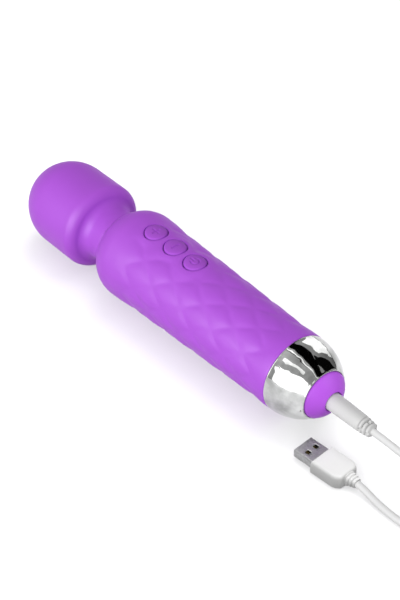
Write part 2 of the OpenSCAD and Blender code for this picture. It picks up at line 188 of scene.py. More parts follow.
def new_material(name):
    material = bpy.data.materials.new(name)
    material.use_nodes = True
    nodes = material.node_tree.nodes
    return material, nodes, material.node_tree.links, nodes["Principled BSDF"]


def node(nodes, kind, **values):
    """A shader node with its sockets and properties set by name."""
    made = nodes.new(kind)
    for key, value in values.items():
        socket = key.replace("_", " ")
        if socket in made.inputs:
            made.inputs[socket].default_value = value
        else:
            setattr(made, key, value)
    return made


def surface(name, colour, dark, rough, metallic=0.0, grain=2500, bump=0.04, blotch=60,
            stretch=None, height=0.0004):
    """Base for every finish: colour varies a little between two tones over patches and grain,
    roughness varies between two values, and a fine grain bumps the surface."""
    material, nodes, links, shader = new_material(name)
    place = node(nodes, "ShaderNodeTexCoord").outputs["Object"]
    if stretch:
        mapping = node(nodes, "ShaderNodeMapping", Scale=stretch)
        links.new(place, mapping.inputs["Vector"])
        place = mapping.outputs["Vector"]
    patches = node(nodes, "ShaderNodeTexNoise", Scale=blotch, Detail=3.0)
    fine = node(nodes, "ShaderNodeTexNoise", Scale=grain, Detail=2.0)
    links.new(place, patches.inputs["Vector"])
    links.new(place, fine.inputs["Vector"])
    both = node(nodes, "ShaderNodeMath", operation="MULTIPLY_ADD")
    links.new(fine.outputs["Fac"], both.inputs[0])
    both.inputs[1].default_value = 0.4
    scaled = node(nodes, "ShaderNodeMath", operation="MULTIPLY")
    scaled.inputs[1].default_value = 0.6
    links.new(patches.outputs["Fac"], scaled.inputs[0])
    links.new(scaled.outputs[0], both.inputs[2])
    tones = node(nodes, "ShaderNodeValToRGB")
    tones.color_ramp.elements[0].position = 0.35
    tones.color_ramp.elements[0].color = (*dark, 1)
    tones.color_ramp.elements[1].position = 0.65
    tones.color_ramp.elements[1].color = (*colour, 1)
    links.new(both.outputs[0], tones.inputs["Fac"])
    links.new(tones.outputs["Color"], shader.inputs["Base Color"])
    gloss = node(nodes, "ShaderNodeMapRange")
    gloss.inputs["To Min"].default_value = rough[0]
    gloss.inputs["To Max"].default_value = rough[1]
    links.new(patches.outputs["Fac"], gloss.inputs["Value"])
    links.new(gloss.outputs["Result"], shader.inputs["Roughness"])
    relief = node(nodes, "ShaderNodeBump", Strength=bump, Distance=height)
    links.new(fine.outputs["Fac"], relief.inputs["Height"])
    links.new(relief.outputs["Normal"], shader.inputs["Normal"])
    shader.inputs["Metallic"].default_value = metallic
    return material, nodes, links, shader


def silicone_material():
    """Satin purple silicone: soft highlight, fine matte grain and a faint velvet sheen."""
    material, _, _, shader = surface("satin_silicone", (0.402, 0.086, 0.650), (0.386, 0.081, 0.626),
                                     (0.42, 0.5), grain=5200, bump=0.05)
    shader.inputs["Sheen Weight"].default_value = 0.03
    shader.inputs["Sheen Roughness"].default_value = 0.5
    shader.inputs["Sheen Tint"].default_value = (0.75, 0.35, 1, 1)
    shader.inputs["Specular IOR Level"].default_value = 0.15
    return material


def chrome_material():
    """Plated chrome: a mirror with a slight ripple. Its base colour is kept dull, and the cloudy darker patches in
    it are painted reflections of a mottled room, not marks on the plating.
    """
    # The dark tone and the patches in this base colour are painted reflection.
    return surface("plated_chrome", (0.64, 0.645, 0.64), (0.30, 0.305, 0.30), (0.02, 0.08),
                   metallic=1.0, grain=95, bump=1.0, blotch=150, height=0.0006)[0]


def brushed_material(name, colour, dark, stretch):
    """Metal brushed along one direction: a stretched grain in both colour and relief."""
    return surface(name, colour, dark, (0.28, 0.45), metallic=0.85, grain=900, bump=0.25,
                   blotch=300, stretch=stretch)[0]


MATERIALS = {
    "silicone": silicone_material(),
    "chrome": chrome_material(),
    "usb_steel": brushed_material("usb_steel", (0.40, 0.40, 0.405), (0.27, 0.27, 0.275),
                                  (1.6, 22, 1.6)),
    "steel": brushed_material("machined_steel", (0.55, 0.56, 0.58), (0.45, 0.46, 0.48), (12, 2, 2)),
    "brass": surface("turned_brass", (0.60, 0.42, 0.16), (0.48, 0.32, 0.11), (0.25, 0.4),
                     1.0, 800, 0.1)[0],
    "overmould": surface("white_overmould", (0.61, 0.61, 0.607), (0.59, 0.59, 0.587), (0.36, 0.46),
                         grain=3800, bump=0.06)[0],
    "cable": surface("cable_jacket", (0.60, 0.60, 0.60), (0.57, 0.57, 0.57), (0.38, 0.5),
                     grain=3000, bump=0.05)[0],
    "hard_plastic": surface("moulded_plastic", (0.80, 0.78, 0.81), (0.76, 0.74, 0.77), (0.4, 0.55),
                            grain=2600, bump=0.1)[0],
    "purple_plastic": surface("purple_plastic", (0.20, 0.035, 0.36), (0.18, 0.030, 0.33), (0.5, 0.6),
                              grain=2600, bump=0.1)[0],
    "black_plastic": surface("black_plastic", (0.030, 0.030, 0.034), (0.020, 0.020, 0.023), (0.4, 0.6),
                             grain=2600, bump=0.12)[0],
    "board": surface("solder_mask", (0.035, 0.20, 0.075), (0.025, 0.15, 0.055), (0.25, 0.4),
                     grain=1400, bump=0.2)[0],
    "plunger": surface("plunger_plastic", (0.66, 0.55, 0.32), (0.60, 0.50, 0.28), (0.4, 0.5))[0],
    "cell_wrap": surface("cell_wrap", (0.06, 0.22, 0.50), (0.05, 0.19, 0.45), (0.2, 0.32),
                         grain=500, bump=0.06)[0],
    "seal": surface("seal_rubber", (0.045, 0.045, 0.05), (0.03, 0.03, 0.035), (0.6, 0.75), bump=0.15)[0],
    "wire": surface("wire_insulation", (0.45, 0.03, 0.03), (0.38, 0.02, 0.02), (0.35, 0.45))[0],
    "led": surface("led_lens", (0.85, 0.85, 0.95), (0.8, 0.8, 0.9), (0.1, 0.2))[0],
    "tie": surface("strap_pvc", (0.72, 0.72, 0.75), (0.66, 0.66, 0.69), (0.45, 0.6), bump=0.2)[0],
    # The tongue is near black, a colour real tongues can have; it is also painted shade that keeps the shell's
    # windows dark.
    "tongue": surface("tongue_plastic", (0.022, 0.022, 0.025), (0.016, 0.016, 0.018), (0.35, 0.45))[0],
}


# ---- Camera ----

def make_camera():
    """The view is set by the point that it looks at, its distance, its two angles and its roll."""
    target = Vector((-6.9, 19.6, -0.6)) * MM
    distance = 0.8199
    roll = math.radians(-0.4)
    azimuth, elevation = math.radians(50.43), math.radians(39.19)
    back = Vector((math.sin(azimuth) * math.cos(elevation), -math.cos(azimuth) * math.cos(elevation),
                   math.sin(elevation)))
    camera = bpy.data.objects.new("camera", bpy.data.cameras.new("camera"))
    camera.data.lens = 96
    camera.data.sensor_width = 36
    camera.location = target + back * distance
    camera.rotation_mode = "QUATERNION"
    camera.rotation_quaternion = (-back).to_track_quat("-Z", "Y") @ Quaternion((0, 0, 1), roll)
    bpy.context.scene.collection.objects.link(camera)
    bpy.context.scene.camera = camera


make_camera()


# ---- The lead: one cable from the charging plug, round the coil, to the USB plug ----

CABLE_R = 1.7
COIL = (200.0, 13.7)
COIL_MID_R = 19.0
COIL_TURNS = 4
# The drawn curve bulges a little between its points, so it's kept this far inside the CAD's box.
LIFT = 0.02
INSET = 0.03
PLUG_ROUTE = [
    (136.5, 0, 23.8), (143, 0, 23.8), (149, 0, 23.7), (155, 0.2, 23.4), (161, 1.4, 22.5),
    (167, 4.4, 20.6), (172, 9, 17.7), (176, 14.8, 14.3), (180, 21.2, 11), (184.1, 27, 9.1),
]
USB_ROUTE = [
    (141.7, -13.1, 3.7), (147, -13.2, 3.2), (153, -13.5, 2.3), (160, -13.7, 1.8), (167, -13.6, 1.7),
    (174, -12.9, 1.7), (181, -11.6, 1.7), (188, -9.9, 1.7), (195, -8.1, 1.7), (201.7, -6.9, 1.7),
]


def coil_points():
    """The coil's turns, wound clockwise from its top outer slot down to its bottom outer slot.
    Each strand moves to its next slot over the same stretch of the ring, one after another."""
    outer, inner = COIL_MID_R + CABLE_R, COIL_MID_R - CABLE_R
    levels = [CABLE_R * k + LIFT for k in (1, 3, 5)]
    slots = [(outer, levels[2]), (inner, levels[2]), (inner, levels[1]), (outer, levels[1]),
             (outer, levels[0])]
    enter, leave, lean, lag, tie = 140.0, -85.0, 50.0, 25.0, -10.0
    strap = 0.6
    points = []
    step = 15.0
    total = enter - leave + 360 * COIL_TURNS
    count = round(total / step)
    for i in range(1, count):
        angle = enter - total * i / count
        # How far this strand has gone towards the next slot, counted from where the USB run leaves.
        turn = math.floor((enter - angle) / 360)
        within = (enter - angle) % 360
        start = (enter - leave) + 3 + (3 - turn) * lag
        moved = float(smooth(start, start + lean, within)) if turn < COIL_TURNS else 0.0
        a, b = slots[turn], slots[min(turn + 1, COIL_TURNS)]
        radius = a[0] + (b[0] - a[0]) * moved
        height = a[1] + (b[1] - a[1]) * moved
        away = abs((angle - tie + 180) % 360 - 180)
        lift = strap * (1 - float(smooth(14, 45, away)))
        if i * total / count < 45:
            lift += strap * (1 - float(smooth(0, 45, i * total / count)))
        place = math.radians(angle)
        points.append((COIL[0] + radius * math.cos(place),
                       COIL[1] - INSET + radius * math.sin(place),
                       height + lift))
    return points


def make_cable():
    usb_run = [(x, y, max(z, CABLE_R + LIFT)) for x, y, z in USB_ROUTE[::-1]]
    path = PLUG_ROUTE + coil_points() + usb_run
    data = bpy.data.curves.new("cable", "CURVE")
    data.dimensions = "3D"
    data.bevel_depth = CABLE_R * MM
    data.bevel_resolution = 6
    data.resolution_u = 6
    data.use_fill_caps = True
    spline = data.splines.new("BEZIER")
    spline.bezier_points.add(len(path) - 1)
    for knot, point in zip(spline.bezier_points, path):
        knot.co = Vector(point) * MM
        knot.handle_left_type = knot.handle_right_type = "AUTO"
    cable = bpy.data.objects.new("cable", data)
    bpy.context.scene.collection.objects.link(cable)
    return finish_piece(cable, MATERIALS["cable"], "handle",
                        ["cable_plug_run", "cable_coil", "cable_usb_run"])


cable = make_cable()


# ---- Handle skin ----

QUILT_PITCH = 21.5
QUILT_TURN = 40.0
QUILT_T = 5.4
QUILT_DEPTH = 0.8
QUILT_WIDTH = 0.55


def grip_radius(t):
    """Radius of the handle's outer surface at station t, before quilting."""
    slope = (GRIP_R_FRONT - GRIP_R_TAIL) / (SHOULDER_T - RING_T)
    round_part = SHOULDER_C + np.sqrt(np.maximum(0, SHOULDER_R ** 2 - (t - SHOULDER_T) ** 2))
    return np.where(t <= SHOULDER_T, GRIP_R_TAIL + slope * (t - RING_T), round_part)


def quilt_depth(t, beta):
    """How far the surface lies below the smooth handle: soft pillows between two families of
    helical grooves, fading out round the buttons and towards both ends."""
    beta = (beta + 180) % 360 - 180
    u = (t - QUILT_T) / QUILT_PITCH + beta / QUILT_TURN
    v = (t - QUILT_T) / QUILT_PITCH - beta / QUILT_TURN
    valleys = [1 / (1 + (np.sin(math.pi * w) / QUILT_WIDTH) ** 2) for w in (u, v)]
    valley = 1 - (1 - valleys[0]) * (1 - valleys[1])
    fade = smooth(RING_T + 3, RING_T + 12, t) * (1 - smooth(118, 130, t))
    side = np.radians(beta) * grip_radius(t)
    for middle in BUTTON_TS:
        fade = fade * smooth(7, 11.5, np.hypot(t - middle, side))
    return QUILT_DEPTH * valley * fade


WINDOW_CELLS_T = 18
WINDOW_CELLS_B = 20
COLUMNS = 200


def skin_rows():
    """The skin's closed outline as (t, r, quilted) rows: along the outside from the tail to the
    mouth, round the lip, and back along the inside."""
    half = (BUTTON_TS[1] - BUTTON_TS[0]) / 2
    first, last = BUTTON_TS[0] - half, BUTTON_TS[-1] + half
    edge = 0.45
    windows = np.linspace(first, last, 3 * WINDOW_CELLS_T + 1)
    along = np.concatenate([
        np.linspace(RING_T + edge, first, 78, endpoint=False), windows,
        np.linspace(last, SHOULDER_T, 9)[1:]])
    lip = 0.7
    sweep = math.degrees(math.acos((MOUTH_R + lip - SHOULDER_C) / (SHOULDER_R - lip)))
    reach = math.radians(sweep)
    turn_c = (SHOULDER_C + (SHOULDER_R - lip) * math.cos(reach),
              SHOULDER_T + (SHOULDER_R - lip) * math.sin(reach))
    shoulder = arc(SHOULDER_C, SHOULDER_T, SHOULDER_R, 0, sweep, 30)[1:]
    rolled = arc(turn_c[0], turn_c[1], lip, sweep, 180, 6)[1:]
    start_r = float(grip_radius(RING_T))
    rows = [(RING_T + edge * (1 - math.cos(a)), start_r - edge * (1 - math.sin(a)), 0)
            for a in [math.radians(d) for d in (0, 22.5, 45, 67.5)]]
    rows += [(t, float(grip_radius(t)), 1) for t in along]
    rows += [(t, r, 0) for r, t in shoulder + rolled]
    inner_sweep = math.degrees(math.acos((MOUTH_R - SHOULDER_C) / (SHOULDER_R - SKIN_T)))
    inside = arc(SHOULDER_C, SHOULDER_T, SHOULDER_R - SKIN_T, inner_sweep, 0, 12)[:-1]
    rows += [(t, r, 0) for r, t in inside]
    back = np.concatenate([[SHOULDER_T], windows[::-1], np.linspace(first, RING_T, 20)[1:]])
    rows += [(t, float(grip_radius(t)) - SKIN_T, 0) for t in back]
    return rows, windows


def hole_rings(centre_t, loop, outside):
    """Rings from a window's border in to the button's hole, in plan. outside says which surface."""
    centre = np.array([RIM_X - centre_t, 0.0])
    plan = loop[:, :2] - centre
    length = np.linalg.norm(plan, axis=1, keepdims=True)
    lip = 0.75 if outside else 0.0
    rim = plan / length * (HOLE_R + lip)
    rings = []
    for k in range(1, 6):
        s = k / 5
        flat = plan + (rim - plan) * s + centre
        t = RIM_X - flat[:, 0]
        radius = grip_radius(t) - (0 if outside else SKIN_T)
        if outside:
            beta = np.degrees(np.arcsin(-flat[:, 1] / radius))
            radius = radius - quilt_depth(t, beta)
        z = AXIS_Z + np.sqrt(radius ** 2 - flat[:, 1] ** 2)
        rings.append(np.column_stack([flat, z]))
    if outside:
        top = rings[-1][:, 2]
        for angle in (22.5, 45, 67.5, 90):
            a = math.radians(angle)
            flat = plan / length * (HOLE_R + lip * (1 - math.sin(a))) + centre
            rings.append(np.column_stack([flat, top - lip * (1 - math.cos(a))]))
        for drop in (0.3, 0.8):
            rings.append(np.column_stack([rings[-1][:, :2], top - lip - drop]))
    return rings


def make_handle_skin():
    rows, windows = skin_rows()
    t = np.array([row[0] for row in rows])[:, None]
    r = np.array([row[1] for row in rows])[:, None]
    quilted = np.array([row[2] for row in rows])[:, None]
    beta = np.arange(COLUMNS)[None, :] * 360 / COLUMNS
    radius = r - quilted * quilt_depth(t, beta)
    points = list(on_wand(t, radius, beta).reshape(-1, 3))
    outer_first = next(i for i, row in enumerate(rows) if abs(row[0] - windows[0]) < 1e-6)
    inner_last = max(i for i, row in enumerate(rows) if abs(row[0] - windows[0]) < 1e-6)
    cells = 3 * WINDOW_CELLS_T
    half = WINDOW_CELLS_B // 2

    def in_window(i, j):
        across = j < half or j >= COLUMNS - half
        outer = outer_first <= i < outer_first + cells
        inner = inner_last - cells <= i < inner_last
        return across and (outer or inner)

    faces = grid_faces(len(rows), COLUMNS, close_rows=True, skip=in_window)

    def border(first, way):
        """Vertex numbers round one window, starting at its tail-side corner."""
        low, high = first, first + way * WINDOW_CELLS_T
        left, right = -half, half
        loop = [(low, j) for j in range(left, right)]
        loop += [(i, right) for i in range(low, high, way)]
        loop += [(high, j) for j in range(right, left, -1)]
        loop += [(i, left) for i in range(high, low, -way)]
        return [i * COLUMNS + j % COLUMNS for i, j in loop]

    for k, middle in enumerate(BUTTON_TS):
        outer = border(outer_first + k * WINDOW_CELLS_T, 1)
        inner = border(inner_last - k * WINDOW_CELLS_T, -1)
        outer_rings = hole_rings(middle, np.array([points[i] for i in outer]), True)
        inner_rings = hole_rings(middle, np.array([points[i] for i in inner]), False)
        loops = [outer]
        for ring in outer_rings + inner_rings[::-1]:
            loops.append(list(range(len(points), len(points) + len(ring))))
            points += list(ring)
        loops.append(inner)
        for a, b in zip(loops[:-1], loops[1:]):
            n = len(a)
            faces += [(a[i], a[(i + 1) % n], b[(i + 1) % n], b[i]) for i in range(n)]
    skin = mesh_object("quilted_skin", points, faces)
    return finish_piece(skin, MATERIALS["silicone"], "handle", ["handle_skin"], sharp=60)


make_handle_skin()


# ---- Buttons ----

def stroke(distance, width):
    """1 inside a stroke of that width, falling softly to 0 at its edges."""
    return 1 - smooth(width / 2 - 0.12, width / 2 + 0.16, distance)


def segment_distance(x, y, a, b):
    a, b = np.array(a), np.array(b)
    d = b - a
    s = np.clip(((x - a[0]) * d[0] + (y - a[1]) * d[1]) / (d @ d), 0, 1)
    return np.hypot(x - a[0] - s * d[0], y - a[1] - s * d[1])


def plus_sign(x, y):
    return np.minimum(segment_distance(x, y, (-2, 0), (2, 0)), segment_distance(x, y, (0, -2), (0, 2)))


def minus_sign(x, y):
    return segment_distance(x, y, (0, -2), (0, 2))


def power_sign(x, y):
    """A ring open towards the head, with a bar in its gap."""
    angle = np.degrees(np.arctan2(y, -x))
    ring = np.where(np.abs(angle) < 38, 9, np.abs(np.hypot(x, y) - 2.1))
    return np.minimum(ring, segment_distance(x, y, (-2.9, 0), (-0.7, 0)))


SIGNS = {"button_plus": plus_sign, "button_minus": minus_sign, "button_power": power_sign}


def make_button(name, centre_t):
    """A soft round cap, a little proud of the handle, with a rolled rim and an engraved sign."""
    segments, roll, raised, depth = 96, 0.85, 0.22, 0.45
    low = corners(name)[0].z
    rings = np.concatenate([np.arange(0, BUTTON_R - roll, 0.2),
                            BUTTON_R - roll + roll * np.sin(np.radians(np.arange(0, 91, 15)))])
    theta = np.radians(np.arange(segments) * 360 / segments)
    rows = []
    for rho in rings:
        x, y = rho * np.cos(theta), rho * np.sin(theta)
        t = centre_t - x
        z = AXIS_Z + np.sqrt(grip_radius(t) ** 2 - y ** 2) + raised * (1 - (rho / BUTTON_R) ** 4)
        over = max(0.0, rho - (BUTTON_R - roll))
        z = z - (roll - math.sqrt(max(0.0, roll ** 2 - over ** 2)))
        z = z - depth * stroke(SIGNS[name](x, y), 0.75)
        rows.append(np.column_stack([RIM_X - centre_t + x, y, z]))
    rim = rows[-1]
    rows.append(np.column_stack([rim[:, 0], rim[:, 1], np.full(segments, low + 0.3)]))
    rows.append(np.column_stack([(rim[:, 0] - RIM_X + centre_t) * 0.95 + RIM_X - centre_t, rim[:, 1] * 0.95,
                                 np.full(segments, low)]))
    rows.append(np.tile([RIM_X - centre_t, 0, low], (segments, 1)))
    cap = mesh_object(name + "_cap", np.concatenate(rows), grid_faces(len(rows), segments))
    body = name.replace("button_", "") + "_button"
    return finish_piece(cap, MATERIALS["silicone"], body, [name], sharp=70)


for button_name, button_t in zip(BUTTONS, BUTTON_TS):
    make_button(button_name, button_t)


# ---- Tail ----

def make_chrome_ring():
    """The bulging mirror ring, with a fine bead round each end."""
    wall, big = 1.4, 28.9
    start = -math.degrees(math.asin(RING_T / big))
    centre = GRIP_R_TAIL - big
    lead, tail = 1.6, 1.0
    outer = arc(centre, RING_T, big, start + tail, -lead, 28)
    inner = arc(centre, RING_T, big - wall, -lead, start + tail, 12)
    front_bead = arc(GRIP_R_TAIL - 0.42, RING_T - 0.42, 0.38, -60, 90, 8)
    rim = arc(CAP_R - 0.02, 0.42, 0.46, 180, 345, 10)
    outline = rim + outer + front_bead + [(GRIP_R_TAIL - wall, RING_T - 0.05)] + inner
    ring = turned("mirror_ring", outline, 192)
    return finish_piece(ring, MATERIALS["chrome"], "handle", ["chrome_ring"], sharp=50)


def make_tail_cap():
    """The domed cap with a soft round dip where the plug goes in."""
    dome = CAP_R * 0.57
    ball = (CAP_R ** 2 + dome ** 2) / (2 * dome)
    centre = ball - dome
    recess_r, lip, floor = PLUG_R + 0.3, 0.55, PLUG_T0
    meet = math.degrees(math.asin((recess_r + lip) / ball))
    rim = math.degrees(math.asin((CAP_R - 0.62) / ball))
    skin = [(ball * math.sin(math.radians(a)), centre - ball * math.cos(math.radians(a)))
            for a in np.linspace(rim, meet, 24)]
    top_t = skin[-1][1]
    lip_arc = arc(recess_r + lip, top_t + lip, lip, -90, -180, 5)
    outline = [(2.6, 4.0), (2.6, floor), (recess_r, floor)] + lip_arc[::-1] + skin[::-1]
    outline += [(CAP_R - 0.52, 0.0), (CAP_R - 0.6, 0.3), (CAP_R - 1.6, 0.4), (CAP_R - 1.6, 4.0)]
    cap = turned("domed_cap", outline, 144)
    return finish_piece(cap, MATERIALS["silicone"], "handle", ["tail_cap"], sharp=60)


make_chrome_ring()
make_tail_cap()


# ---- Neck and head ----

NECK_R = 14.5
NECK_WALL = 2.6


def make_neck():
    """Rear half of the flexible neck's skin, from the handle to the neck's middle."""
    back_t = MOUTH_T - 3.2
    stations = np.linspace(back_t, PIVOT_T, 22)
    outer = [(NECK_R + 0.012 * (PIVOT_T - t) ** 2 * smooth(MOUTH_T - 1, MOUTH_T + 3, t)
              - 0.9 * (1 - smooth(back_t, MOUTH_T + 1, t)), t) for t in stations]
    inner = [(NECK_R - NECK_WALL, t) for t in stations[::-1]]
    neck = turned("neck_skin", [(float(r), float(t)) for r, t in outer + inner], 144)
    finish_piece(neck, MATERIALS["silicone"], None, ["neck_sleeve"], sharp=60)
    on_wand(back_t, 0, 0) * MM
    on_wand(PIVOT_T, 0, 0) * MM
    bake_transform(neck)
    return neck


def make_head():
    """The head's skin with the front half of the neck, in one soft moulding."""
    dome_len, edge, fillet, skin = 23.7, 5.6, 5.0, 2.5
    dome_t = HEAD_TIP_T - dome_len
    rear_t = 164.4
    neck_front = arc(NECK_R + fillet, rear_t - fillet, fillet, 180, 100, 14)
    corner = arc(HEAD_R - edge, rear_t + edge, edge, -80, 0, 16)
    dome = [(HEAD_R * math.cos(a), dome_t + dome_len * math.sin(a))
            for a in np.linspace(0, math.pi / 2, 34)]
    wall = np.linspace(rear_t + edge, dome_t, 14)[1:-1]
    outer = [(NECK_R, t) for t in np.linspace(PIVOT_T, rear_t - fillet, 4)[:-1]] + neck_front + corner
    outer += [(HEAD_R, float(t)) for t in wall] + dome
    inner_r, inner_len = HEAD_R - skin, dome_len - skin
    inner = [(inner_r * math.cos(a), dome_t + inner_len * math.sin(a))
             for a in np.linspace(math.pi / 2, 0, 20)]
    inner += [(inner_r, float(t)) for t in wall[::-1]]
    inner += arc(HEAD_R - edge, rear_t + edge, edge - skin, 0, -90, 8)
    inner += [(NECK_R - NECK_WALL, rear_t + skin), (NECK_R - NECK_WALL, PIVOT_T)]
    head = turned("head_skin_soft", outer + inner, 160)
    finish_piece(head, MATERIALS["silicone"], None, ["head_skin"], sharp=60)
    on_wand(PIVOT_T, 0, 0) * MM
    on_wand(rear_t + 5, 0, 0) * MM
    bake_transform(head)
    return head


def tube(name, path, outwards, radius, around=10):
    """A round bar along a path; outwards gives a direction across the path at each point."""
    path, outwards = np.array(path), np.array(outwards)
    along = np.gradient(path, axis=0)
    along /= np.linalg.norm(along, axis=1, keepdims=True)
    side = np.cross(along, outwards)
    rows = [np.tile(path[0], (around, 1))]
    for centre, out, across in zip(path, outwards, side):
        angles = np.arange(around) * 2 * math.pi / around
        rows.append(centre + radius * (np.cos(angles)[:, None] * out + np.sin(angles)[:, None] * across))
    rows.append(np.tile(path[-1], (around, 1)))
    return mesh_object(name, np.concatenate(rows), grid_faces(len(rows), around))


SPRING_R, SPRING_WIRE, SPRING_PITCH = 7.0, 0.86, 2.0
BEND_T0, BEND_T1 = 150.4, 163.0
SPRING_LO, SPRING_HI = corners("neck_spring")
SPRING_T0, SPRING_T1 = RIM_X - SPRING_HI.x, RIM_X - SPRING_LO.x
SPRING_END = 0.9
WIRE_LO, WIRE_HI = corners("neck_wires")
WIRES_T0, WIRES_T1 = RIM_X - WIRE_HI.x, RIM_X - WIRE_LO.x
WIRE_R = (WIRE_HI.z - WIRE_LO.z) / 2
WIRE_Y = WIRE_HI.y - WIRE_R
WIRE_Z = (WIRE_LO.z + WIRE_HI.z) / 2


def make_neck_core(name, first_t, last_t, bend):
    """One half of the neck's spring and of the two wires inside it."""
    turns = np.arange(first_t, last_t + 0.01, SPRING_PITCH / 28)
    coil = on_wand(turns, SPRING_R, turns * 360 / SPRING_PITCH)
    out = coil - on_wand(turns, 0, 0)
    pieces = [(tube(name + "_spring", coil, out / SPRING_R, SPRING_WIRE), "steel", "neck_spring")]
    straight = np.linspace(max(first_t, WIRES_T0), min(last_t, WIRES_T1), 26)
    for k, y in enumerate((-WIRE_Y, WIRE_Y)):
        path = on_wand(straight, 0, 0) + np.array([0, y, WIRE_Z - AXIS_Z])
        wire = tube(f"{name}_wire{k}", path, np.tile([0.0, 1.0, 0.0], (len(path), 1)), WIRE_R, 12)
        pieces.append((wire, "wire", "neck_wires"))
    for piece, finish, stands_for in pieces:
        finish_piece(piece, MATERIALS[finish], None, [stands_for], sharp=60)
        on_wand(bend[0], 0, 0) * MM
        on_wand(bend[1], 0, 0) * MM
        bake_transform(piece)


make_neck()
make_head()
make_neck_core("neck_rear", SPRING_T0 + SPRING_END, PIVOT_T, (BEND_T0, PIVOT_T))
make_neck_core("neck_front", PIVOT_T, SPRING_T1 - SPRING_END, (PIVOT_T, BEND_T1))


# ---- Plugs ----

def make_charge_plug():
    """The slim round charging plug, a little tapered, with rounded ends."""
    front, back, taper = PLUG_T0, PLUG_T1, 0.35
    nose_r, tail_r = 0.7, 1.3
    nose = arc(PLUG_R - nose_r, front - nose_r, nose_r, 90, 0, 6)
    tail = arc(PLUG_R - taper - tail_r, back + tail_r, tail_r, 0, -90, 8)
    length = back + tail_r - front + nose_r
    barrel = [(PLUG_R - taper * s, front - nose_r + length * s) for s in np.linspace(0, 1, 8)[1:-1]]
    plug = turned("charge_plug_body", [(0, front)] + nose + barrel + tail + [(0, back)], 96)
    return finish_piece(plug, MATERIALS["overmould"], "handle", ["charge_plug"])


def relief(name, front, length, radii, end_r, segments=96):
    """A strain relief: soft beads with deep grooves, each cut by slots that alternate in place."""
    pitch = length / len(radii)
    outline = [(0, front)]
    for k, r in enumerate(radii):
        top = front - pitch * k
        outline += [(end_r, top), (end_r, top - 0.12 * pitch)]
        outline += arc(r - 0.45, top - 0.5 * pitch, 0.38 * pitch, 90, -90, 10)
    outline += [(end_r, front - length), (0, front - length)]

    def slotted(r, t, beta):
        bead = np.floor((front - t) / pitch)
        across = (beta + 90 * bead + 180) % 180
        gap = 1 - smooth(8, 16, np.abs(across - 90))
        return r - gap * np.maximum(0, r - end_r) * 0.9

    return turned(name, outline, segments, slotted)


def make_charge_relief():
    overlap = 0.15
    beads = relief("charge_relief_beads", PLUG_T1 + overlap, PLUG_T1 - RELIEF_T1 + overlap,
                   [3.75, 3.5, 3.2], 2.3)
    return finish_piece(beads, MATERIALS["overmould"], "handle", ["charge_relief"], sharp=50)


make_charge_plug()
make_charge_relief()

USB = next(mount for mount in frame["record"]["mounts"] if mount["name"] == "usb_a_plug")
USB_ALONG = -Vector(USB["axis"]).normalized()
USB_START = Vector(USB["pos_m"]) / MM
USB_W, USB_H = 12.0, 4.5


def on_usb(points):
    """Points (along, across, up from the plug's middle) of the USB plug, in the row frame."""
    across = Vector((-USB_ALONG.y, USB_ALONG.x, 0))
    return np.array([USB_START + USB_ALONG * float(x) + across * float(y) + Vector((0, 0, float(z)))
                     for x, y, z in points])


def rounded(corners_with_radius, steps=6):
    """A closed outline with each corner (x, y, size) cut by a soft curve of that size."""
    loop = []
    points = [Vector(corner[:2]) for corner in corners_with_radius]
    for k, corner in enumerate(corners_with_radius):
        here, before, after = points[k], points[k - 1], points[(k + 1) % len(points)]
        a = here + (before - here).normalized() * corner[2]
        b = here + (after - here).normalized() * corner[2]
        for i in range(steps + 1):
            s = i / steps
            loop.append((1 - s) ** 2 * a + 2 * s * (1 - s) * here + s * s * b)
    return loop


def make_usb_body():
    """The moulded grip: a soft-edged block, wider than the shell, whose back narrows to the collar."""
    def plan(drawn_in):
        front, side, back = 11.2 + 0.7 * drawn_in, 7.4 - drawn_in, 28.2 - 0.8 * drawn_in
        near = [(front, -side, 0.6), (back - 3, -side, 1.5), (back, -side + 2, 1.2)]
        return rounded(near + [(x, -y, size) for x, y, size in near[::-1]])

    levels = [(-3.7, 1.0), (-3.55, 0.5), (-3.1, 0.15), (-2.5, 0), (0.2, 0), (2.2, 0.1), (2.9, 0.3),
              (3.35, 0.65), (3.6, 1.15), (3.7, 1.8)]
    rows = [[(p.x, p.y, z) for p in plan(drawn_in)] for z, drawn_in in levels]
    around = len(rows[0])
    rows = [[(19, 0, -3.7)] * around] + rows + [[(19, 0, 3.7)] * around]
    points = np.concatenate([on_usb(row) for row in rows])
    body = mesh_object("usb_grip", points, grid_faces(len(rows), around))
    return finish_piece(body, MATERIALS["overmould"], "handle", ["usb_body"], sharp=50)


def make_usb_collar():
    """The grip's collar, flattened and ringed, where the cable comes out."""
    segments, start, end = 64, 27.2, 33.0
    rows = []
    for x in np.linspace(start, end, 48):
        s = (x - start) / (end - start)
        wide, high = 4.0 - 1.7 * s, 3.15 - 1.05 * s
        ring = abs((x - 28.6) / 1.5 - round((x - 28.6) / 1.5))
        groove = 0.55 * (1 - float(smooth(0.08, 0.24, ring))) if 28.0 < x < 32.4 else 0.0
        row = []
        for k in range(segments):
            a = 2 * math.pi * k / segments
            c, q = math.cos(a), math.sin(a)
            r = 1 / (abs(c) ** 2.6 + abs(q) ** 2.6) ** (1 / 2.6)
            row.append((x, (wide - groove) * r * c, (high - groove) * r * q))
        rows.append(row)
    rows = [[(start, 0, 0)] * segments] + rows + [[(end, 0, 0)] * segments]
    points = np.concatenate([on_usb(row) for row in rows])
    collar = mesh_object("usb_collar", points, grid_faces(len(rows), segments))
    return finish_piece(collar, MATERIALS["overmould"], "handle", ["usb_relief"], sharp=50)


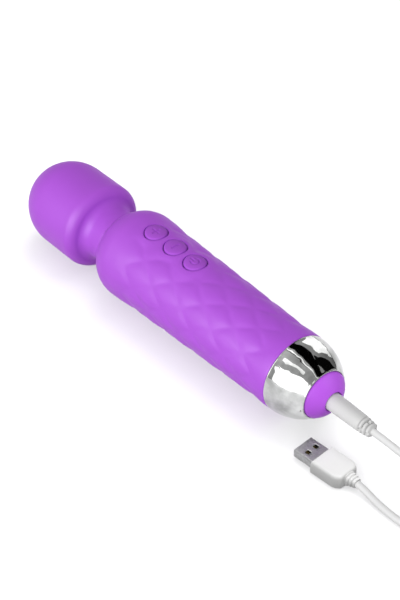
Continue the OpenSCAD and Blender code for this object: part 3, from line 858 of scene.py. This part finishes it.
def make_usb_sleeve():
    """The plug's folded metal shell, open at the front, with two windows in each broad face."""
    half_w, half_h, r, wall = USB_W / 2, USB_H / 2, 0.75, 0.3
    flat = [-5.1, -4.4, -3.7, -3.2, -2.6, -2.0, -1.5, -0.7, 0, 0.7, 1.5, 2.0, 2.6, 3.2, 3.7, 4.4, 5.1]
    bend = [(math.cos(math.radians(a)), math.sin(math.radians(a))) for a in (15, 30, 45, 60, 75)]
    loop = [(y, -half_h) for y in flat] + [(half_w - r + r * q, -half_h + r - r * c) for c, q in bend]
    loop += [(half_w, -0.9), (half_w, 0.9)] + [(half_w - r + r * c, half_h - r + r * q) for c, q in bend]
    loop += [(y, half_h) for y in flat[::-1]] + [(-half_w + r - r * q, half_h - r + r * c) for c, q in bend]
    loop += [(-half_w, 0.9), (-half_w, -0.9)] + [(-half_w + r - r * c, -half_h + r - r * q) for c, q in bend]
    stations = [0, 0.1, 0.3, 1.2, 2.6, 3.7, 4.6, 4.9, 5.7, 6.5, 6.8, 8.2, 10.0, 11.9]
    tips = {0: 0.14, 0.1: 0.05}
    points = []
    for x in stations:
        pull = 1 - tips.get(x, 0) / half_h
        points += [(x, y * (1 - tips.get(x, 0) / half_w), z * pull) for y, z in loop]

    def window(i, j):
        y = (loop[j][0] + loop[(j + 1) % len(loop)][0]) / 2
        z = (loop[j][1] + loop[(j + 1) % len(loop)][1]) / 2
        x = (stations[i] + stations[i + 1]) / 2
        return 4.6 < x < 6.8 and 1.5 < abs(y) < 3.7 and abs(z) > half_h - 0.01

    skin = mesh_object("usb_sleeve", on_usb(points), grid_faces(len(stations), len(loop), skip=window))
    thick = skin.modifiers.new("thick", "SOLIDIFY")
    thick.thickness = wall * MM
    thick.offset = -1
    return solid(finish_piece(skin, MATERIALS["usb_steel"], "handle", ["usb_shell"], sharp=30))


def solid(obj):
    """Turns the object's modifiers into real geometry."""
    graph = bpy.context.evaluated_depsgraph_get()
    made = bpy.data.meshes.new_from_object(obj.evaluated_get(graph))
    obj.modifiers.clear()
    obj.data = made
    return obj


make_usb_body()
make_usb_collar()
make_usb_sleeve()


# ---- CAD nodes that stay, with their finishes ----

FINISHES = {
    "hard_plastic": ["shell_upper", "shell_lower", "tail_frame", "head_shell_rear", "head_shell_front",
                     "neck_plug", "motor_bracket"],
    "purple_plastic": ["neck_socket"],
    "steel": ["shell_screws", "bracket_screws", "motor_can", "motor_shaft", "charge_pin",
              "battery_tabs"],
    "brass": ["jack_spring", "motor_bush", "eccentric_weight", "usb_contacts"],
    "black_plastic": ["charge_jack", "board_components", "switch_bodies", "battery_saddles"],
    "board": ["control_board", "switch_board"],
    "plunger": ["plunger_plus", "plunger_minus", "plunger_power"],
    "cell_wrap": ["battery_cell"],
    "seal": ["tail_seal", "motor_damper"],
    "wire": ["handle_wires", "head_wires"],
    "led": ["status_led"],
    "tie": ["cable_tie"],
    "tongue": ["usb_tongue"],
}
for finish, names in FINISHES.items():
    for name in names:
        data = frame["nodes"][name].data
        data.materials.clear()
        data.materials.append(MATERIALS[finish])


# ---- Stage and light ----

def make_floor():
    """A pale, nearly matt table. Diffuse rays don't see it, so it throws no light on the model."""
    material = surface("studio_floor", (0.62, 0.62, 0.625), (0.61, 0.61, 0.615), (0.5, 0.56), bump=0.0)[0]
    mesh = bpy.data.meshes.new("floor")
    side, below = 6.0, -0.0002
    square = [(-side, -side), (side, -side), (side, side), (-side, side)]
    mesh.from_pydata([(x, y, below) for x, y in square], [], [(0, 1, 2, 3)])
    mesh.materials.append(material)
    floor = bpy.data.objects.new("floor", mesh)
    floor.visible_diffuse = False
    bpy.context.scene.collection.objects.link(floor)
    return floor


def make_flag(name, centre, across, along):
    """A black card that shows in reflections and nowhere else."""
    material, _, _, shader = new_material(name)
    shader.inputs["Base Color"].default_value = (0.004, 0.004, 0.004, 1)
    shader.inputs["Specular IOR Level"].default_value = 0
    a, b = Vector(across) / 2, Vector(along) / 2
    c = Vector(centre)
    mesh = bpy.data.meshes.new(name)
    mesh.from_pydata([c - a - b, c + a - b, c + a + b, c - a + b], [], [(0, 1, 2, 3)])
    mesh.materials.append(material)
    flag = bpy.data.objects.new(name, mesh)
    flag.visible_camera = False
    flag.visible_diffuse = False
    flag.visible_shadow = False
    bpy.context.scene.collection.objects.link(flag)


def light_only(light, objects, state):
    """Links the light to those objects only, or leaves them out."""
    group = bpy.data.collections.new(light.name + "_group")
    for obj in objects:
        group.objects.link(obj)
    for entry in group.collection_objects:
        entry.light_linking.link_state = state
    light.light_linking.receiver_collection = group


def make_light(name, centre, aim, size, radiance, objects, state="INCLUDE"):
    """A softbox on those objects alone, or on all but those. Its brightness doesn't depend on size."""
    data = bpy.data.lights.new(name, "AREA")
    data.shape = "RECTANGLE"
    data.size, data.size_y = size
    data.energy = radiance * math.pi * size[0] * size[1]
    light = bpy.data.objects.new(name, data)
    light.location = centre
    light.rotation_mode = "QUATERNION"
    light.rotation_quaternion = (Vector(aim) - Vector(centre)).to_track_quat("-Z", "Y")
    bpy.context.scene.collection.objects.link(light)
    light_only(light, objects, state)
    return light


def make_overhead(name, objects, brightness, shadow, lean=0):
    """Even light from above, leaning towards +Y by that angle, on those objects alone."""
    data = bpy.data.lights.new(name, "SUN")
    data.energy = brightness * math.pi
    data.angle = math.radians(50)
    data.use_shadow = shadow
    light = bpy.data.objects.new(name, data)
    light.rotation_euler = (math.radians(-lean), 0, 0)
    bpy.context.scene.collection.objects.link(light)
    light_only(light, objects, "INCLUDE")


WORLD_BELOW, WORLD_LEVEL, WORLD_ABOVE = 0.26, 0.55, 0.75


def make_world():
    """A bright room: dim below the table, brighter from the horizon up to the ceiling."""
    world = bpy.data.worlds.new("studio")
    world.use_nodes = True
    nodes, links = world.node_tree.nodes, world.node_tree.links
    background = nodes["Background"]
    place = nodes.new("ShaderNodeTexCoord")
    split = nodes.new("ShaderNodeSeparateXYZ")
    height = nodes.new("ShaderNodeMapRange")
    height.inputs["From Min"].default_value = -1
    ramp = nodes.new("ShaderNodeValToRGB")
    ramp.color_ramp.elements[0].position = 0.35
    ramp.color_ramp.elements[0].color = (*[WORLD_BELOW] * 3, 1)
    ramp.color_ramp.elements[1].position = 0.85
    ramp.color_ramp.elements[1].color = (*[WORLD_ABOVE] * 3, 1)
    middle = ramp.color_ramp.elements.new(0.5)
    middle.color = (*[WORLD_LEVEL] * 3, 1)
    links.new(place.outputs["Generated"], split.inputs[0])
    links.new(split.outputs["Z"], height.inputs["Value"])
    links.new(height.outputs["Result"], ramp.inputs["Fac"])
    links.new(ramp.outputs["Color"], background.inputs["Color"])
    side = nodes.new("ShaderNodeMapRange")
    side.inputs["From Min"].default_value = -1
    side.inputs["To Min"].default_value = 1.2
    side.inputs["To Max"].default_value = 0.4
    links.new(split.outputs["Y"], side.inputs["Value"])
    links.new(side.outputs["Result"], background.inputs["Strength"])
    bpy.context.scene.world = world


def direction(azimuth, elevation):
    a, e = math.radians(azimuth), math.radians(elevation)
    return Vector((math.cos(e) * math.cos(a), math.cos(e) * math.sin(a), math.sin(e)))


def pieces(*names):
    return [bpy.data.objects[name] for name in names]


floor = make_floor()
make_world()

ring_point = Vector((95 * MM, 0, AXIS_Z * MM))
ring = pieces("mirror_ring")
usb_pieces = pieces("usb_grip", "usb_collar", "usb_sleeve")
lead_pieces = usb_pieces + [cable] + pieces("charge_plug_body", "charge_relief_beads", "cable_tie")
soft_pieces = pieces("quilted_skin", "neck_skin", "head_skin_soft")

# Even light from above.
make_overhead("table_light", [floor], 0.78, False)
make_overhead("table_shadow_light", [floor], 0.46, True, lean=26)
make_overhead("usb_light", usb_pieces, 0.85, True)
make_overhead("lead_light", [cable], 0.26, True)

# Black cards, for the dark bands in the chrome.
wall = direction(62, 0)
make_flag("flag_over", ring_point + Vector((0, 0.17, 0.55)), (1.3, 0, 0), (0, 0.24, 0))
make_flag("flag_wall", ring_point + wall * 0.55 + Vector((0, 0, 0.45)),
          wall.cross(Vector((0, 0, 1))) * 0.33, (0, 0, 1.0))
make_flag("flag_thin", ring_point + Vector((-0.1, -0.065, 0.6)), (0.7, 0, 0), (0, 0.014, 0))
make_flag("flag_small", ring_point + direction(-114, 34) * 0.7, direction(-24, 0) * 0.09, (0, 0, 0.05))

# The key light, and the bright shapes that the chrome shows.
make_light("key", (0.45, -1.45, 0.66), (0, 0, 0), (2.4, 1.35), 2.45, usb_pieces, "EXCLUDE")
make_light("back", ring_point + direction(108, 24) * 0.9, ring_point, (0.5, 0.7), 1.5, ring)
make_light("strip", ring_point + direction(-78, 63) * 0.7, ring_point, (0.6, 0.09), 1.5, ring)
make_light("line", ring_point + Vector((0, -0.02, 0.6)), ring_point, (1.2, 0.035), 1.5, ring)

# Fill on single groups: rim adds no shine to the silicone, and soft_glow adds nothing but shine.
make_light("cap_fill", ring_point + direction(35, 38) * 0.8, ring_point, (0.6, 0.6), 3.3,
           pieces("domed_cap"))
rim = make_light("rim", (0, 0.95, 0.32), (0, 0, 0.03), (1.4, 0.35), 3.1, soft_pieces)
rim.visible_glossy = False
soft_glow = make_light("soft_glow", (0.2, -1.45, 0.5), (0, 0, 0), (2.0, 1.2), 12.0, soft_pieces)
soft_glow.visible_diffuse = False
make_light("lead_rim", (0.1, 0.95, 0.3), (0.1, 0, 0.03), (1.4, 0.5), 1.5, lead_pieces)
bpy.context.scene.view_settings.view_transform = "Standard"
